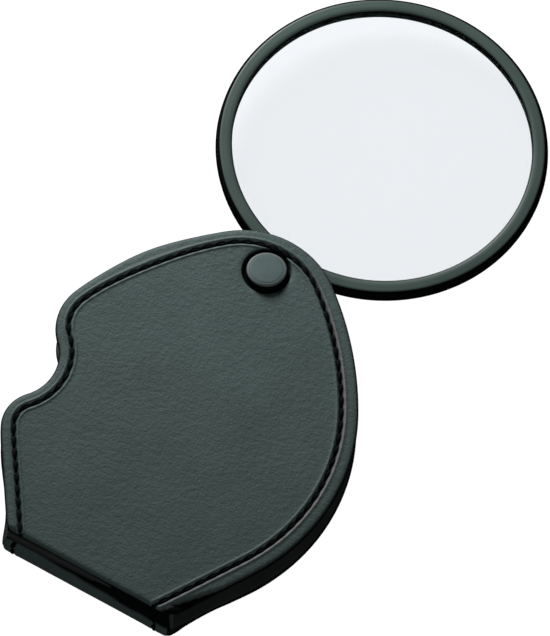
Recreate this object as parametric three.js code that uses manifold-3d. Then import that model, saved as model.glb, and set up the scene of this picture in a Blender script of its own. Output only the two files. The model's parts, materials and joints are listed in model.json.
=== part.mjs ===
// Folding pocket magnifier: a round lens in a plastic ring that swings on a rivet
// out of a stitched leather case.
//
// Units are millimetres and +Z is up. The case lies on its back. The origin is on the
// back face, under the centre of the stowed lens, and +Y runs from the spine to the rivet.

import * as THREE from "three";
import { mergeVertices } from "three/addons/utils/BufferGeometryUtils.js";
import Module from "manifold-3d";

const wasm = await Module();
wasm.setup();

// ---------------------------------------------------------------- driving dimensions

// Case outline: arcs from the top of the case down one side, then a straight flare.
const PIVOT_Y = 37.4; // rivet axis, from the centre of the stowed lens
const TOP_Y = PIVOT_Y + 8.0;
const SPINE_Y = PIVOT_Y - 73.4;
const CASE_SHIFT = 0.65; // the case's middle line lies this far right of the rivet
const CASE_HALF_WIDTH = 33.9;
const EDGE_ARCS = [
  { radius: 18.6, turn: 39.9 },
  { radius: 71.2, turn: 22.4 },
  { radius: 39.7, turn: 60.4 },
];

// Finger notch in the left edge: a hollow arc with a rounded corner at each end.
// Its place is measured from the case's middle line and from the rivet.
const NOTCH = { x: -35.2, y: PIVOT_Y - 39.6, radius: 9.0, upperCorner: 10.7, lowerCorner: 7.4 };

// Case section, from the outside to the middle.
const CASE_THICKNESS = 10.4;
const MID_Z = CASE_THICKNESS / 2;
const SKIN = 0.9; // leather over the boards
const BORDER = 1.5; // leather beyond the boards, where it is doubled
const BOARD_INSET = 4.4;
const BOARD_GAP = 0.3; // between a board's edge and the leather round it
const GLUE = 0.05; // between two glued layers
const LINING = 0.4;
const LINING_INSET = 0.4;
const SPINE_WALL = 1.3;
const EDGE_ROUND = 0.6;

// Seam: a thread that lies in a pressed channel round the whole unfolded case.
const SEAM_INSET = 2.95;
const SEAM_SHIFT = -0.4; // the seam lies a little left of true in the leather
const THREAD_WIDTH = 0.8;
const THREAD_TOP = 0.1; // below the leather's surface
const THREAD_BOTTOM = 0.4;
const CHANNEL_WIDTH = 1.2;
const CHANNEL_DEPTH = 0.5;

// Ring and lens. Heights are from the ring's middle plane.
const LENS_ANGLE = 9.4; // degrees that the lens leans to the right of the case
const RING_HEIGHT = 3.65;
const RING_OUTER = 33.0;
const RING_FACE_OUTER = 32.15;
const RING_INNER = 29.6;
const RING_BORE = 30.9;
const RING_ROUND_HEIGHT = 0.85;
const LIP_UNDERSIDE = 0.5;
const LENS_RADIUS = 30.6;
const LENS_RIM_TOP = 0.3;
const LENS_RIM_BOTTOM = -0.9;
const LENS_SAG = 2.0;
const RETAINER_OUTER = 30.75;
const RETAINER_TOP = -1.15;
const RETAINER_BOTTOM = -1.7;
const LUG_RADIUS = 5.0;
const LUG_ROOT_HALF_WIDTH = 7.0;
const LUG_OVERLAP = 2; // how far the lug runs into the ring before it is trimmed
const LUG_HOLE = 1.95;

// Rivet: a cap crimped on a pin, pressed into a flanged post.
const POST_OUTER = 1.85;
const POST_INNER = 1.2;
const POST_TOP = 10.2;
const FLANGE_RADIUS = 3.6;
const FLANGE_BOTTOM = 0.05;
const FLANGE_TOP = 0.45;
const FLANGE_RECESS_RADIUS = 3.9;
const FLANGE_RECESS_DEPTH = 0.5;
const PANEL_HOLE = 2.15;
const CAP_BASE_RADIUS = 4.15;
const CAP_RADIUS = 4.0;
const CAP_FACE_RADIUS = 3.7;
const CAP_HEIGHT = 1.6;
const CAP_CROWN = 0.15;
const CAP_WALL = 0.35;
const CAP_SEAT_GAP = 0.05;
const PIN_RADIUS = 1.05;
const PIN_HEAD_RADIUS = 3.3;
const PIN_HEAD_THICKNESS = 0.5;
const PIN_TIP_Z = 3.0;
const WASHER_RADIUS = 4.8;
const WASHER_HOLE = 2.1;
const RUNNING_GAP = 0.05;

// Facets.
const ARC_STEP = 6; // degrees along the case outline
const RING_SEGMENTS = 80;
const RIVET_SEGMENTS = 32;
const LENS_STEPS = 5; // rings of facets on each face of the lens
const LUG_CURVE_STEPS = 16;
const OVERRUN = 2; // how far a cutting body passes the face that it cuts

// ---------------------------------------------------------------- small helpers

const rad = THREE.MathUtils.degToRad;
const frontOf = (z) => CASE_THICKNESS - z; // the same layer on the front panel

function solidOf(geometry) {
  const bare = geometry.clone();
  bare.deleteAttribute("normal");
  bare.deleteAttribute("uv");
  const merged = mergeVertices(bare, 1e-5);
  return new wasm.Manifold(
    new wasm.Mesh({
      numProp: 3,
      vertProperties: new Float32Array(merged.attributes.position.array),
      triVerts: new Uint32Array(merged.index.array),
    }),
  );
}

function geometryOf(solid) {
  const mesh = solid.getMesh();
  const geometry = new THREE.BufferGeometry();
  geometry.setAttribute("position", new THREE.BufferAttribute(new Float32Array(mesh.vertProperties), 3));
  geometry.setIndex(new THREE.BufferAttribute(new Uint32Array(mesh.triVerts), 1));
  geometry.computeVertexNormals();
  return geometry;
}

// A closed body through stacked outlines that all have the same number of points.
function loft(levels) {
  const count = levels[0].points.length;
  const positions = levels.flatMap(({ points, z }) => points.flatMap((p) => [p.x, p.y, z]));
  const index = [];
  for (let level = 0; level < levels.length - 1; level += 1) {
    for (let i = 0; i < count; i += 1) {
      const next = (i + 1) % count;
      const a = level * count + i;
      const b = level * count + next;
      index.push(a, b, b + count, a, b + count, a + count);
    }
  }
  const top = (levels.length - 1) * count;
  for (const [a, b, c] of THREE.ShapeUtils.triangulateShape(levels[0].points, [])) {
    index.push(a, c, b);
  }
  for (const [a, b, c] of THREE.ShapeUtils.triangulateShape(levels.at(-1).points, [])) {
    index.push(top + a, top + b, top + c);
  }
  const geometry = new THREE.BufferGeometry();
  geometry.setAttribute("position", new THREE.Float32BufferAttribute(positions, 3));
  geometry.setIndex(index);
  return geometry;
}

function box(low, high) {
  const size = new THREE.Vector3().subVectors(high, low);
  const middle = new THREE.Vector3().addVectors(low, high).multiplyScalar(0.5);
  return new THREE.BoxGeometry(size.x, size.y, size.z).translate(middle.x, middle.y, middle.z);
}

// A body turned about +Z, from a closed profile of [radius, height] pairs.
function turned(profile, segments) {
  const points = profile.map(([radius, height]) => new THREE.Vector2(radius, height));
  return new THREE.LatheGeometry(points, segments).rotateX(Math.PI / 2);
}

// A cylinder on the rivet axis.
function rivetCylinder(radius, low, high) {
  return new THREE.CylinderGeometry(radius, radius, high - low, RIVET_SEGMENTS)
    .rotateX(Math.PI / 2)
    .translate(0, PIVOT_Y, (low + high) / 2);
}

function washer(inner, outer, low, high) {
  return turned([[inner, low], [outer, low], [outer, high], [inner, high], [inner, low]], RIVET_SEGMENTS);
}

function part(name, geometry, material) {
  const mesh = new THREE.Mesh(geometry, material);
  mesh.name = name;
  return mesh;
}

// ---------------------------------------------------------------- case outline

// The arcs of the left edge, from the top down. Angles are polar, about each arc's centre.
function plainEdge() {
  let start = Math.PI / 2;
  let x = 0;
  let y = TOP_Y;
  return EDGE_ARCS.map(({ radius, turn }) => {
    const centre = new THREE.Vector2(x - radius * Math.cos(start), y - radius * Math.sin(start));
    const end = start + rad(turn);
    x = centre.x + radius * Math.cos(end);
    y = centre.y + radius * Math.sin(end);
    const arc = { centre, radius, start, end, hollow: false };
    start = end;
    return arc;
  });
}

// Where two circles cross, on the left (side 1) or right (side -1) of the line a to b.
function crossing(a, radiusA, b, radiusB, side) {
  const along = new THREE.Vector2().subVectors(b, a);
  const distance = along.length();
  along.divideScalar(distance);
  const run = (radiusA ** 2 - radiusB ** 2 + distance ** 2) / (2 * distance);
  const rise = side * Math.sqrt(radiusA ** 2 - run ** 2);
  return new THREE.Vector2(
    a.x + along.x * run - along.y * rise,
    a.y + along.y * run + along.x * rise,
  );
}

function polar(from, to) {
  const angle = Math.atan2(to.y - from.y, to.x - from.x);
  return angle < 0 ? angle + 2 * Math.PI : angle;
}

// The left edge with the notch let into its lowest and longest arc.
function notchedEdge() {
  const [top, shoulder, side] = plainEdge();
  const notch = new THREE.Vector2(NOTCH.x, NOTCH.y);
  const corner = (radius, turn) =>
    crossing(notch, NOTCH.radius + radius, side.centre, side.radius - radius, turn);
  const upper = corner(NOTCH.upperCorner, 1);
  const lower = corner(NOTCH.lowerCorner, -1);
  const upperTouch = polar(side.centre, upper);
  const lowerTouch = polar(side.centre, lower);
  const arc = (centre, radius, start, end, hollow) => ({ centre, radius, start, end, hollow });
  return [
    top,
    shoulder,
    { ...side, end: upperTouch },
    arc(upper, NOTCH.upperCorner, upperTouch, polar(upper, notch), false),
    arc(notch, NOTCH.radius, polar(notch, upper), polar(notch, lower) - 2 * Math.PI, true),
    arc(lower, NOTCH.lowerCorner, polar(lower, notch), lowerTouch, false),
    { ...side, start: lowerTouch },
  ];
}

function arcPoints({ centre, radius, start, end, hollow }, inset) {
  const r = hollow ? radius + inset : radius - inset;
  const steps = Math.max(1, Math.round(Math.abs(end - start) / rad(ARC_STEP)));
  return Array.from({ length: steps + 1 }, (_, i) => {
    const angle = start + ((end - start) * i) / steps;
    return new THREE.Vector2(centre.x + r * Math.cos(angle), centre.y + r * Math.sin(angle));
  });
}

// One edge as points from the top down to where it crosses the line y = floor.
function edgePoints(arcs, inset, floor) {
  const points = arcs.flatMap((arc, i) => arcPoints(arc, inset).slice(i === 0 ? 0 : 1));
  const last = points.at(-1);
  const end = arcs.at(-1).end;
  const run = (floor - last.y) / Math.cos(end);
  points.push(new THREE.Vector2(last.x - run * Math.sin(end), floor));
  return points;
}

const mirrored = (points) => points.map((p) => new THREE.Vector2(-p.x, p.y)).reverse();

// The whole outline, anticlockwise, drawn in by inset, cut off at the spine side and moved
// to the case's place beside the rivet.
function outline(inset, spineInset = inset, shift = CASE_SHIFT) {
  const floor = SPINE_Y + spineInset;
  const left = edgePoints(notchedEdge(), inset, floor);
  const right = mirrored(edgePoints(plainEdge(), inset, floor));
  return [...right, ...left.slice(1)].map((p) => new THREE.Vector2(p.x + shift, p.y));
}

// A band of the given width that follows the seam and runs out past the spine.
function seamBand(width) {
  const shift = CASE_SHIFT + SEAM_SHIFT;
  const outer = outline(SEAM_INSET - width / 2, -OVERRUN, shift);
  const inner = outline(SEAM_INSET + width / 2, -OVERRUN, shift);
  const points = [...outer, ...inner.reverse()];
  return loft([
    { points, z: -OVERRUN },
    { points, z: CASE_THICKNESS + OVERRUN },
  ]);
}

function slab(inset, spineInset, low, high) {
  const points = outline(inset, spineInset);
  return loft([
    { points, z: low },
    { points, z: high },
  ]);
}

// The closed case as one block, drawn in on every side by depth.
function caseBlock(depth) {
  const level = (inset, z) => ({ points: outline(inset + depth), z });
  const soft = EDGE_ROUND * (1 - Math.SQRT1_2);
  return loft([
    level(EDGE_ROUND, depth),
    level(soft, depth + soft),
    level(0, depth + EDGE_ROUND),
    level(0, frontOf(depth + EDGE_ROUND)),
    level(soft, frontOf(depth + soft)),
    level(EDGE_ROUND, frontOf(depth)),
  ]);
}

// ---------------------------------------------------------------- case pieces

// Everything from the inner face of the spine outwards, between two heights.
function cavity(spineInset, low, high) {
  const reach = CASE_HALF_WIDTH + OVERRUN;
  return box(
    new THREE.Vector3(CASE_SHIFT - reach, SPINE_Y + spineInset, low),
    new THREE.Vector3(CASE_SHIFT + reach, TOP_Y + OVERRUN, high),
  );
}

function leatherCover() {
  const channel = solidOf(caseBlock(-EDGE_ROUND))
    .subtract(solidOf(caseBlock(CHANNEL_DEPTH)))
    .intersect(solidOf(seamBand(CHANNEL_WIDTH)));
  const boardPocket = (low, high) =>
    solidOf(slab(BOARD_INSET - BOARD_GAP, BOARD_INSET - BOARD_GAP, low, high));
  const solid = solidOf(caseBlock(0))
    .subtract(solidOf(cavity(SPINE_WALL, BORDER, frontOf(BORDER))))
    .subtract(boardPocket(SKIN, BORDER + OVERRUN))
    .subtract(boardPocket(frontOf(BORDER + OVERRUN), frontOf(SKIN)))
    .subtract(channel)
    .subtract(solidOf(rivetCylinder(PANEL_HOLE, -OVERRUN, CASE_THICKNESS + OVERRUN)))
    .subtract(solidOf(rivetCylinder(FLANGE_RECESS_RADIUS, -OVERRUN, FLANGE_RECESS_DEPTH)));
  return geometryOf(solid);
}

function lining() {
  const outer = BORDER + GLUE;
  const inner = outer + LINING;
  const solid = solidOf(slab(LINING_INSET, SPINE_WALL + GLUE, outer, frontOf(outer)))
    .subtract(solidOf(cavity(SPINE_WALL + GLUE + LINING, inner, frontOf(inner))))
    .subtract(solidOf(rivetCylinder(PANEL_HOLE, -OVERRUN, CASE_THICKNESS + OVERRUN)));
  return geometryOf(solid);
}

function board(low, high) {
  const solid = solidOf(slab(BOARD_INSET, BOARD_INSET, low, high))
    .subtract(solidOf(rivetCylinder(PANEL_HOLE, -OVERRUN, CASE_THICKNESS + OVERRUN)));
  return geometryOf(solid);
}

function seamThread() {
  const solid = solidOf(caseBlock(THREAD_TOP))
    .subtract(solidOf(caseBlock(THREAD_BOTTOM)))
    .intersect(solidOf(seamBand(THREAD_WIDTH)));
  return geometryOf(solid);
}

// ---------------------------------------------------------------- ring and lens

// These stand about the lens's own centre, with the rivet at y = -PIVOT_Y.
function lensRing() {
  const half = RING_HEIGHT / 2;
  const shoulder = half - RING_ROUND_HEIGHT;
  const soft = RING_FACE_OUTER + (RING_OUTER - RING_FACE_OUTER) * Math.SQRT1_2;
  const softHeight = shoulder + RING_ROUND_HEIGHT * Math.SQRT1_2;
  const ring = turned(
    [
      [RING_BORE, -half],
      [RING_FACE_OUTER, -half],
      [soft, -softHeight],
      [RING_OUTER, -shoulder],
      [RING_OUTER, shoulder],
      [soft, softHeight],
      [RING_FACE_OUTER, half],
      [RING_INNER, half],
      [RING_INNER, LIP_UNDERSIDE],
      [RING_BORE, LIP_UNDERSIDE],
      [RING_BORE, -half],
    ],
    RING_SEGMENTS,
  );
  const root = -Math.sqrt(RING_OUTER ** 2 - LUG_ROOT_HALF_WIDTH ** 2);
  const lugShape = new THREE.Shape();
  lugShape.moveTo(LUG_ROOT_HALF_WIDTH, root + LUG_OVERLAP);
  lugShape.lineTo(LUG_ROOT_HALF_WIDTH, root);
  lugShape.absarc(0, -PIVOT_Y, LUG_RADIUS, 0, -Math.PI, true);
  lugShape.lineTo(-LUG_ROOT_HALF_WIDTH, root);
  lugShape.lineTo(-LUG_ROOT_HALF_WIDTH, root + LUG_OVERLAP);
  lugShape.closePath();
  const lug = new THREE.ExtrudeGeometry(lugShape, {
    depth: RING_HEIGHT,
    bevelEnabled: false,
    curveSegments: LUG_CURVE_STEPS,
  }).translate(0, 0, -half);
  const cylinder = (radius, y, segments) =>
    new THREE.CylinderGeometry(radius, radius, 2 * RING_HEIGHT, segments)
      .rotateX(Math.PI / 2)
      .translate(0, y, 0);
  const trimmedLug = solidOf(lug)
    .subtract(solidOf(cylinder((RING_BORE + RING_FACE_OUTER) / 2, 0, RING_SEGMENTS)))
    .subtract(solidOf(cylinder(LUG_HOLE, -PIVOT_Y, RIVET_SEGMENTS)));
  return geometryOf(solidOf(ring).add(trimmedLug));
}

function lens() {
  const ballRadius = (LENS_RADIUS ** 2 + LENS_SAG ** 2) / (2 * LENS_SAG);
  const dome = (sign, rim) =>
    Array.from({ length: LENS_STEPS + 1 }, (_, i) => {
      const radius = (LENS_RADIUS * i) / LENS_STEPS;
      const height = Math.sqrt(ballRadius ** 2 - radius ** 2) - (ballRadius - LENS_SAG);
      return [radius, rim + sign * height];
    });
  return turned([...dome(-1, LENS_RIM_BOTTOM), ...dome(1, LENS_RIM_TOP).reverse()], RING_SEGMENTS);
}

function retainingRing() {
  return turned(
    [
      [RING_INNER, RETAINER_BOTTOM],
      [RETAINER_OUTER, RETAINER_BOTTOM],
      [RETAINER_OUTER, RETAINER_TOP],
      [RING_INNER, RETAINER_TOP],
      [RING_INNER, RETAINER_BOTTOM],
    ],
    RING_SEGMENTS,
  );
}

// ---------------------------------------------------------------- rivet

// These stand on the rivet axis.
function rivetPost() {
  return turned(
    [
      [POST_INNER, FLANGE_BOTTOM],
      [FLANGE_RADIUS, FLANGE_BOTTOM],
      [FLANGE_RADIUS, FLANGE_TOP],
      [POST_OUTER, FLANGE_TOP],
      [POST_OUTER, POST_TOP],
      [POST_INNER, POST_TOP],
      [POST_INNER, FLANGE_BOTTOM],
    ],
    RIVET_SEGMENTS,
  );
}

const CAP_BASE_Z = CASE_THICKNESS + CAP_SEAT_GAP;
const CAP_TOP_Z = CASE_THICKNESS + CAP_HEIGHT;
const CAP_CEILING_Z = CAP_TOP_Z - CAP_WALL;
const CAP_BEVEL_Z = CAP_TOP_Z - (CAP_RADIUS - CAP_FACE_RADIUS);

function rivetCap() {
  return turned(
    [
      [0, CAP_CEILING_Z],
      [CAP_BASE_RADIUS - CAP_WALL, CAP_CEILING_Z],
      [CAP_BASE_RADIUS - CAP_WALL, CAP_BASE_Z],
      [CAP_BASE_RADIUS, CAP_BASE_Z],
      [CAP_RADIUS, CAP_BEVEL_Z],
      [CAP_FACE_RADIUS, CAP_TOP_Z - CAP_CROWN],
      [CAP_FACE_RADIUS / 2, CAP_TOP_Z - CAP_CROWN / 4],
      [0, CAP_TOP_Z],
    ],
    RIVET_SEGMENTS,
  );
}

function rivetPin() {
  const headTop = CAP_CEILING_Z - GLUE;
  return turned(
    [
      [0, PIN_TIP_Z],
      [PIN_RADIUS, PIN_TIP_Z],
      [PIN_RADIUS, headTop - PIN_HEAD_THICKNESS],
      [PIN_HEAD_RADIUS, headTop - PIN_HEAD_THICKNESS],
      [PIN_HEAD_RADIUS, headTop],
      [0, headTop],
    ],
    RIVET_SEGMENTS,
  );
}

// ---------------------------------------------------------------- materials

function finish(color, roughness, metalness = 0) {
  return new THREE.MeshStandardMaterial({ color, roughness, metalness });
}

const MATERIALS = {
  leather: finish(0x465250, 0.55),
  lining: finish(0x1b1e1d, 0.8),
  board: finish(0x8a7f6c, 0.9),
  thread: finish(0x0b0d0d, 0.7),
  ringPlastic: finish(0x4b5450, 0.45),
  paint: finish(0x566363, 0.4),
  steel: finish(0xa8a8a6, 0.35, 1),
  nylon: finish(0x222423, 0.5),
  glass: new THREE.MeshStandardMaterial({
    color: 0xeef1f3,
    roughness: 0.02,
    transparent: true,
    opacity: 0.35,
  }),
};

// ---------------------------------------------------------------- assembly

const liningFace = BORDER + GLUE + LINING;
const lugBottom = MID_Z - RING_HEIGHT / 2;
const washerLow = liningFace + RUNNING_GAP;
const washerHigh = lugBottom - RUNNING_GAP;

const leatherCase = new THREE.Group();
leatherCase.add(
  part("leather_cover", leatherCover(), MATERIALS.leather),
  part("lining", lining(), MATERIALS.lining),
  part("rear_board", board(SKIN + GLUE, BORDER), MATERIALS.board),
  part("front_board", board(frontOf(BORDER), frontOf(SKIN + GLUE)), MATERIALS.board),
  part("seam_thread", seamThread(), MATERIALS.thread),
);

const rivet = new THREE.Group();
rivet.position.y = PIVOT_Y;
rivet.add(
  part("rivet_cap", rivetCap(), MATERIALS.paint),
  part("rivet_pin", rivetPin(), MATERIALS.steel),
  part("rivet_post", rivetPost(), MATERIALS.paint),
  part("rear_washer", washer(WASHER_HOLE, WASHER_RADIUS, washerLow, washerHigh), MATERIALS.nylon),
  part(
    "front_washer",
    washer(WASHER_HOLE, WASHER_RADIUS, frontOf(washerHigh), frontOf(washerLow)),
    MATERIALS.nylon,
  ),
);

// The arm turns about the rivet: its pivot group carries the lens at arm's length.
const lensArm = new THREE.Group();
lensArm.position.set(0, PIVOT_Y, MID_Z);
lensArm.rotation.z = -rad(LENS_ANGLE);
const lensCentre = new THREE.Group();
lensCentre.position.y = PIVOT_Y;
lensCentre.add(
  part("lens_ring", lensRing(), MATERIALS.ringPlastic),
  part("lens", lens(), MATERIALS.glass),
  part("retaining_ring", retainingRing(), MATERIALS.ringPlastic),
);
lensArm.add(lensCentre);

const magnifier = new THREE.Group();
magnifier.add(leatherCase, rivet, lensArm);

export default magnifier;
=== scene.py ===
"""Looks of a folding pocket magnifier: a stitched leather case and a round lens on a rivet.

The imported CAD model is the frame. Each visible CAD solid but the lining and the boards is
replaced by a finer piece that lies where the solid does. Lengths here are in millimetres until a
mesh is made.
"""

import json
import math

import bmesh
import bpy
import numpy as np
from mathutils import Color, Euler, Matrix, Vector, noise
from mathutils.geometry import delaunay_2d_cdt


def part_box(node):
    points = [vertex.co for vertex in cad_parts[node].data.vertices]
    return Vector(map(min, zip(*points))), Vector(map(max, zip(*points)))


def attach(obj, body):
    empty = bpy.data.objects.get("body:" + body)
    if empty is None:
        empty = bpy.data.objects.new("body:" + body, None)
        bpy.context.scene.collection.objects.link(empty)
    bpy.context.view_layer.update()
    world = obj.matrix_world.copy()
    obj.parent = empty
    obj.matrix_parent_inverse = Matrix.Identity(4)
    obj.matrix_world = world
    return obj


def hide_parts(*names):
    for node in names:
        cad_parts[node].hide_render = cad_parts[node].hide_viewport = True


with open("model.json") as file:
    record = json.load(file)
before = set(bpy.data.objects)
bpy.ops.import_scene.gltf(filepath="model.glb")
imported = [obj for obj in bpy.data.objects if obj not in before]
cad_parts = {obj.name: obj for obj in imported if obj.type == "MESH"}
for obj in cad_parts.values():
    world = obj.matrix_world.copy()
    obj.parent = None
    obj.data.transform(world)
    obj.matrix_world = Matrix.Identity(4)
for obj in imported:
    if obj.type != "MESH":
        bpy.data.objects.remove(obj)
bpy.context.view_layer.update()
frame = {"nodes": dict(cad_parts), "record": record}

MM = 0.001

# ---- sizes from the frame


def node_box(name):
    """Lowest and highest corner of a CAD node, in millimetres."""
    low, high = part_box(name)
    return np.array(low) / MM, np.array(high) / MM


CASE_LOW, CASE_HIGH = node_box("leather_cover")
RING_LOW, RING_HIGH = node_box("lens_ring")
LENS_LOW, LENS_HIGH = node_box("lens")
RETAINER_LOW, RETAINER_HIGH = node_box("retaining_ring")
CAP_LOW, CAP_HIGH = node_box("rivet_cap")
POST_LOW, POST_HIGH = node_box("rivet_post")

PIVOT = np.array(frame["record"]["behaviour"]["joints"][0]["pos_m"]) / MM
LENS_CENTRE = (LENS_LOW + LENS_HIGH) / 2
LENS_LEAN = math.atan2(LENS_CENTRE[0] - PIVOT[0], LENS_CENTRE[1] - PIVOT[1])

SPINE_Y = CASE_LOW[1]
TOP_Y = CASE_HIGH[1]
THICKNESS = CASE_HIGH[2]

# ---- sizes of the finer detail

# Case outline: arcs from the top down one side, then a straight flare to the spine.
# The notch is placed from the case's middle line and from the rivet.
EDGE_ARCS = ((18.6, 39.9), (71.2, 22.4), (39.7, 60.4))
NOTCH_CENTRE = np.array((-35.2, PIVOT[1] - 39.6))
NOTCH_RADIUS = 9.0
NOTCH_UPPER_CORNER = 10.7
NOTCH_LOWER_CORNER = 7.4
CASE_SHIFT = 0.65  # the case's middle line lies this far right of the rivet
SEAM_SHIFT = -0.4  # the seam lies a little left of true in the leather
SHOULDER_AT = np.array((-23.3, PIVOT[1] - 8.0))  # the border swells out round this point
SHOULDER_OUTWARD = np.array((-0.62, 0.78))
SHOULDER_SWELL = 0.5
SHOULDER_PINCH = 0.35
SHOULDER_SPAN = 9.0
REAR_PINCH = 0.35  # how far the rear panel is drawn in, under the front one's edge
REAR_PINCH_SPAN = 6.0
WAIST_AT = 9.0  # up from the fold
WAIST_SPAN = 4.5

# Leather sheet: heights are above or below the outer surface.
SAMPLE_STEP = 0.36
LEATHER_THICKNESS = 1.42
SPINE_WALL = 1.25
BORDER = 2.4  # outside the seam's channel
SEAM_INSET = 2.95
STITCH_PITCH = 2.62
CHANNEL_DEPTH = 0.46
CHANNEL_HALF_WIDTH = 0.46
SEAM_SHADE_HALF_WIDTH = (0.26, 0.54)  # of the painted shade along the seam, at a hole and between holes
HOLE_DEPTH = 0.3
HOLE_RADIUS = 0.5
SEAM_RIDGES = ((-0.82, 0.18, 0.28), (0.8, 0.15, 0.25))  # (way in, height, half width)
INNERMOST_INSET = 5.2
SPINE_FLARE = (1.1, 0.35)  # how far the fold's rear corners stand out, left and right
FLARE_SPAN = 4.0
SPINE_SKEW = 0.35  # the fold runs this much further out at its right end, less at its left
SPINE_HALF_WIDTH = 18.0
SKEW_REACH = 22.0
SPINE_SUBDIVISIONS = 24  # steps of the smooth curve between two points of its profile
SKIVE_REACH = 14.0  # the border thins, and takes painted shade, over this length into each right-hand corner
SKIVE_DEPTH = 0.8
SKIVE_WIDTH = 1.7
VALLEY = (5.3, 9.75)  # lowest and highest of the painted shade on the fold, at its left end
VALLEY_FALL = 1.3  # of the lowest towards the right
FALLOFF_REACH = 58.0  # up the panels, of the painted shade near the fold

# Where the sheet folds: (distance out from the spine's outermost line, height) round the spine.
SPINE_PROFILE = [(2.4, 10.4), (1.7, 10.37), (1.2, 10.18), (0.96, 9.8), (0.98, 9.3)]
SPINE_PROFILE += [(1.22, 8.6), (1.4, 7.7), (1.42, 6.7), (1.22, 5.7), (0.84, 4.8)]
SPINE_PROFILE += [(0.46, 4.0), (0.26, 3.1), (0.18, 2.2), (0.17, 1.4), (0.22, 0.75)]
SPINE_PROFILE += [(0.42, 0.26), (0.8, 0.03), (1.5, 0.0), (2.1, 0.0)]

# ---- mesh helpers


def add_object(name, data):
    obj = bpy.data.objects.new(name, data)
    bpy.context.scene.collection.objects.link(obj)
    return obj


def make_object(name, vertices, faces):
    """A smooth-shaded closed body, its faces turned out, from vertices in millimetres."""
    mesh = bpy.data.meshes.new(name)
    mesh.from_pydata([tuple(v) for v in np.asarray(vertices) * MM], [], faces)
    mesh.validate()
    work = bmesh.new()
    work.from_mesh(mesh)
    bmesh.ops.recalc_face_normals(work, faces=work.faces)
    work.to_mesh(mesh)
    work.free()
    mesh.polygons.foreach_set("use_smooth", [True] * len(mesh.polygons))
    return add_object(name, mesh)


def ring_faces(count, first, second):
    """Quads between two closed loops of count vertices that start at these indices."""
    return [
        (first + i, first + (i + 1) % count, second + (i + 1) % count, second + i)
        for i in range(count)
    ]


def lathe(name, profile, centre, segments):
    """A body turned about a vertical axis, from (radius, height) pairs given anticlockwise.

    The profile starts and ends on the axis, or else closes on itself.
    """
    angles = np.linspace(0, 2 * math.pi, segments, endpoint=False)
    vertices = []
    loops = []
    for radius, height in profile:
        size = 1 if radius == 0 else segments
        loops.append((len(vertices), size))
        vertices.extend(
            (centre[0] + radius * math.cos(a), centre[1] + radius * math.sin(a), height)
            for a in angles[:size]
        )
    pairs = list(zip(loops, loops[1:]))
    if profile[0][0] > 0:
        pairs.append((loops[-1], loops[0]))
    faces = []
    for (a, size_a), (b, size_b) in pairs:
        for i in range(segments):
            j = (i + 1) % segments
            corners = (a + i % size_a, a + j % size_a, b + j % size_b, b + i % size_b)
            faces.append(tuple(dict.fromkeys(corners)))
    return make_object(name, vertices, faces)


def smoothstep(value, low, high):
    """0 below low and 1 above high, with a smooth rise between."""
    share = np.clip((np.asarray(value, float) - low) / (high - low), 0, 1)
    return share * share * (3 - 2 * share)


def bell(distance, width, power=2):
    """1 at no distance, falling smoothly to nothing past this width."""
    return np.exp(-((distance / width) ** power))


def gap_to(points, centre):
    """How far each point lies from a centre in plan."""
    return np.linalg.norm(points[:, :2] - centre, axis=1)


def direction(angles):
    """Unit vectors in plan at these angles."""
    return np.stack((np.cos(angles), np.sin(angles)), -1)


def lengths_along(line):
    """Distance along a line to each of its points."""
    steps = np.linalg.norm(np.diff(line, axis=0), axis=1)
    return np.concatenate(([0], np.cumsum(steps)))


def paint(obj, shades):
    """Gives each vertex its painted shade and highlight: 1 for the plain colour, down to 0 for
    black, above 1 for lighter.
    """
    layer = obj.data.attributes.new("shade", "FLOAT", "POINT")
    layer.data.foreach_set("value", np.asarray(shades, dtype=np.float32))
    return obj


def arc_profile(centre, radius, start, end, steps):
    """Points of an arc of a profile, angles in degrees."""
    turns = direction(np.radians(np.linspace(start, end, steps + 1)))
    return [tuple(point) for point in centre + radius * turns]


def smooth_by_angle(obj, degrees):
    """Shades smooth, with a crease wherever two faces meet at more than this angle."""
    obj.data.set_sharp_from_angle(angle=math.radians(degrees))
    return obj


def turned(name, profile, centre, segments, crease):
    """A finished body from the lathe."""
    return smooth_by_angle(lathe(name, profile, centre, segments), crease)


def place(obj, body, material, node):
    """Fastens a finished piece to its body and material, and hides the CAD node it stands for."""
    obj.data.materials.clear()
    obj.data.materials.append(material)
    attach(obj, body)
    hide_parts(node)
    return obj


def blacken(obj, material, below=0.5):
    """A second, duller black material for the faces that the piece's painted shade makes black."""
    obj.data.materials.append(material)
    shades = obj.data.attributes["shade"].data
    for face in obj.data.polygons:
        if max(shades[i].value for i in face.vertices) < below:
            face.material_index = 1


# ---- outline of the case


def plain_edge():
    """Arcs of the left edge from the top down, as (centre, radius, start, end, hollow)."""
    arcs = []
    start = math.pi / 2
    point = np.array((0.0, TOP_Y))
    for radius, turn in EDGE_ARCS:
        centre = point - radius * direction(start)
        end = start + math.radians(turn)
        point = centre + radius * direction(end)
        arcs.append((centre, radius, start, end, False))
        start = end
    return arcs


def crossing(a, radius_a, b, radius_b, side):
    """Where two circles cross, on the left (side 1) or right (side -1) of the line a to b."""
    along = b - a
    distance = np.linalg.norm(along)
    along /= distance
    run = (radius_a**2 - radius_b**2 + distance**2) / (2 * distance)
    rise = side * math.sqrt(radius_a**2 - run**2)
    return a + along * run + np.array((-along[1], along[0])) * rise


def polar(origin, point):
    """The angle from 0 to a full turn at which the point lies from the origin."""
    return math.atan2(point[1] - origin[1], point[0] - origin[0]) % (2 * math.pi)


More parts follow.
